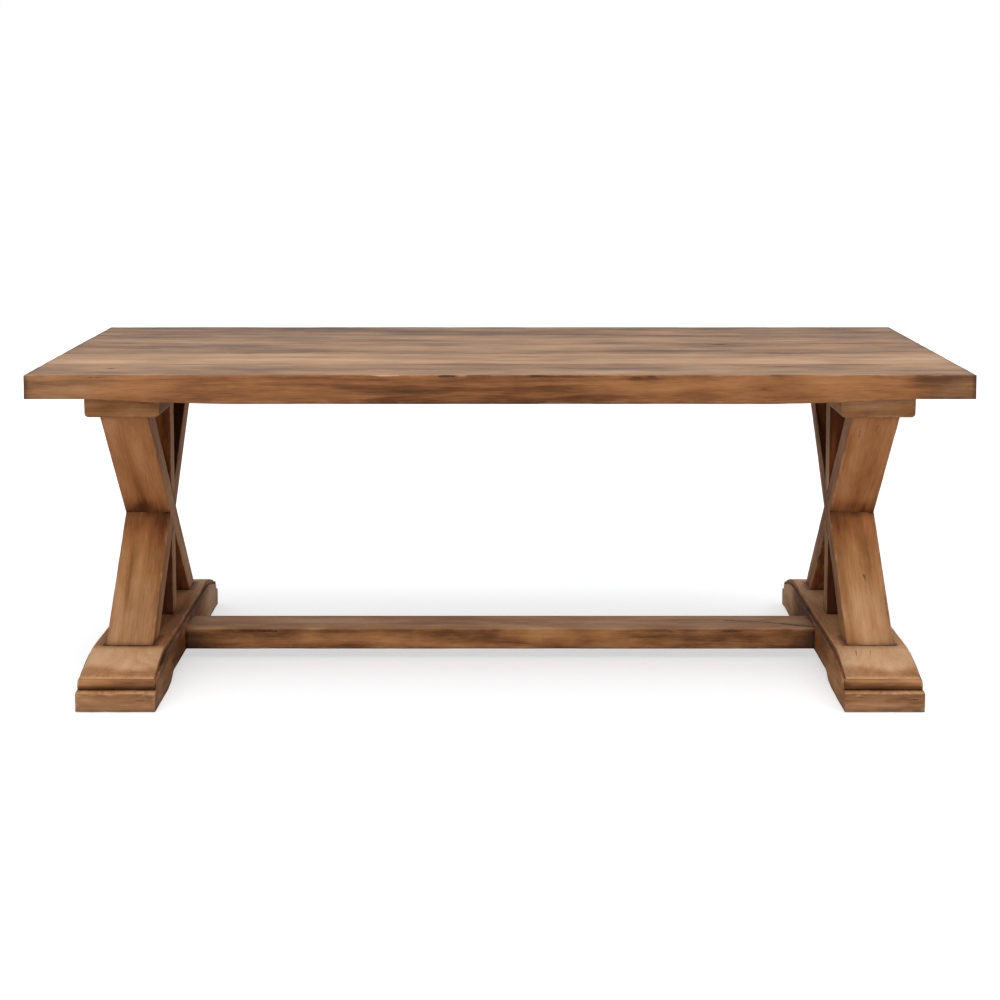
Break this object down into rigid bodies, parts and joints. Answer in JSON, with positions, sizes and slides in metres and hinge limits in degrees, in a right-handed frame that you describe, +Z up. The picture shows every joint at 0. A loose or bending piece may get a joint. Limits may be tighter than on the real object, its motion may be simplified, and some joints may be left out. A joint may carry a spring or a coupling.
{
  "type": "trestle dining table",
  "caption": "Rustic rectangular plank-top dining table on X-braced trestles with centre posts, moulded sled bases and a low stretcher.",
  "frame": {"origin": "on the floor under the centre of the top", "axes": "+X along the length of the top, +Y towards the rear, +Z up; the two long sides look alike"},
  "size_m": [2.1, 1, 0.762],
  "materials": {
    "top_wood": "aged, low satin wax over worn pine boards",
    "frame_wood": "aged honey-brown stain, rubbed satin",
    "hidden_wood": "raw beech",
    "zinc_steel": "zinc plated, dull",
    "glide_plastic": "matt nylon"
  },
  "bodies": {
    "root": {"top_board_front": "top_wood", "top_board_front_inner": "top_wood", "top_board_middle": "top_wood", "top_board_rear_inner": "top_wood", "top_board_rear": "top_wood", "top_splines": "hidden_wood", "centre_batten": "frame_wood", "batten_screws": "zinc_steel", "right_top_cap": "frame_wood", "right_cap_screws": "zinc_steel", "right_leg_front_foot": "frame_wood", "right_leg_rear_foot": "frame_wood", "right_post_upper": "frame_wood", "right_post_lower": "frame_wood", "right_post_dowels": "hidden_wood", "right_lap_dowels": "hidden_wood", "right_base_board": "frame_wood", "right_base_beam": "frame_wood", "right_floor_glides": "glide_plastic", "right_base_beads": "frame_wood", "right_stretcher_bolts": "zinc_steel", "right_bolt_washers": "zinc_steel", "right_barrel_nuts": "zinc_steel", "left_top_cap": "frame_wood", "left_cap_screws": "zinc_steel", "left_leg_front_foot": "frame_wood", "left_leg_rear_foot": "frame_wood", "left_post_upper": "frame_wood", "left_post_lower": "frame_wood", "left_post_dowels": "hidden_wood", "left_lap_dowels": "hidden_wood", "left_base_board": "frame_wood", "left_base_beam": "frame_wood", "left_floor_glides": "glide_plastic", "left_base_beads": "frame_wood", "left_stretcher_bolts": "zinc_steel", "left_bolt_washers": "zinc_steel", "left_barrel_nuts": "zinc_steel", "stretcher": "frame_wood"}
  },
  "joints": []
}
